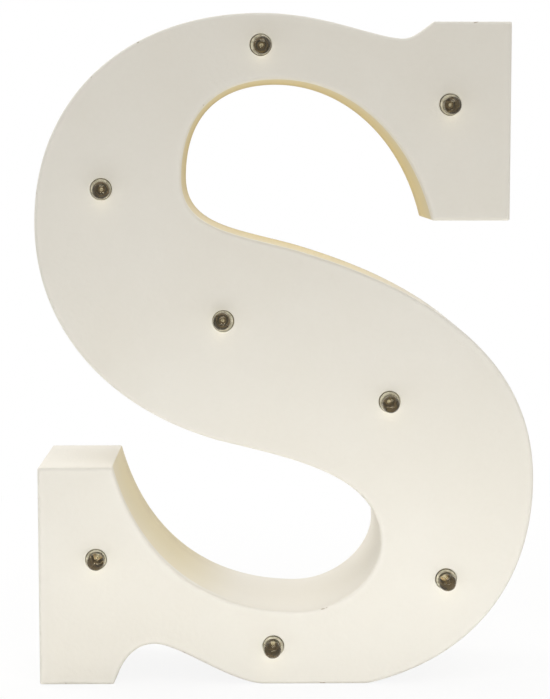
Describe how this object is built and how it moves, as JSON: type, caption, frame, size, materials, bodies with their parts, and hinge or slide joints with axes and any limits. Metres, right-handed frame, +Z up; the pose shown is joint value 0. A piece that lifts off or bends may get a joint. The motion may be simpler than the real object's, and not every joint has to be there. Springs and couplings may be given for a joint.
{
  "type": "letter lamp",
  "caption": "Serif capital S as a free-standing painted box letter, with clear dome lights through its face and a battery case with sliding cover and slide switch in its back.",
  "frame": {"origin": "on the surface it stands on, under the middle of the overall box", "axes": "+Z up the letter, +X to the right seen from the front, the face looks along -Y"},
  "size_m": [0.12, 0.0416, 0.162],
  "materials": {
    "painted_face": "satin ivory paint on board",
    "painted_side": "satin ivory paint on bent strip",
    "painted_back": "thin matt ivory paint on board",
    "bare_wood": "sawn softwood",
    "screw_steel": "zinc plated",
    "case_plastic": "fine moulded texture",
    "cover_plastic": "fine moulded texture",
    "cell_jacket": "shrunk film",
    "spring_steel": "nickel plated",
    "plated_contact": "nickel plated",
    "switch_body": "moulded",
    "switch_steel": "stamped",
    "knob_plastic": "ribbed",
    "clear_epoxy": "clear",
    "lead_wire": "tinned",
    "phosphor": "cast",
    "hot_glue": "translucent",
    "red_insulation": "smooth",
    "black_insulation": "smooth",
    "resistor_lacquer": "lacquered"
  },
  "bodies": {
    "letter": {"front_panel": "painted_face", "upper_band": "painted_side", "lower_band": "painted_side", "base_strip": "painted_side", "arch_strip": "painted_side", "upper_serif_cap": "painted_side", "upper_serif_side": "painted_side", "upper_serif_sill": "painted_side", "lower_serif_cap": "painted_side", "lower_serif_side": "painted_side", "lower_serif_foot": "painted_side", "back_panel": "painted_back", "corner_blocks": "bare_wood", "back_panel_screws": "screw_steel", "case_screws": "screw_steel", "switch_screws": "screw_steel", "battery_case": "case_plastic", "battery_cell_upper": "cell_jacket", "battery_cell_lower": "cell_jacket", "contact_springs": "spring_steel", "negative_contact": "plated_contact", "positive_contact": "plated_contact", "bridge_contact": "plated_contact", "switch_terminals": "plated_contact", "switch_housing": "switch_body", "switch_frame": "switch_steel", "led_lens_1": "clear_epoxy", "led_lens_2": "clear_epoxy", "led_lens_3": "clear_epoxy", "led_lens_4": "clear_epoxy", "led_lens_5": "clear_epoxy", "led_lens_6": "clear_epoxy", "led_lens_7": "clear_epoxy", "led_lens_8": "clear_epoxy", "led_anodes": "lead_wire", "led_cathodes": "lead_wire", "led_chips": "phosphor", "led_glue": "hot_glue", "positive_bus_wire": "red_insulation", "battery_red_wire": "red_insulation", "feed_wire": "red_insulation", "negative_bus_wire": "black_insulation", "battery_black_wire": "black_insulation", "resistor": "resistor_lacquer"},
    "switch_knob": {"switch_knob": "knob_plastic"},
    "battery_cover": {"battery_cover": "cover_plastic"}
  },
  "joints": [
    {"name": "switch_slide", "type": "slide", "parent": "letter", "child": "switch_knob", "axis": [0.3746, 0, 0.9272], "range_m": [0, 0.003]},
    {"name": "cover_slide", "type": "slide", "parent": "letter", "child": "battery_cover", "axis": [-0.9272, 0, 0.3746], "range_m": [0, 0.008]}
  ]
}
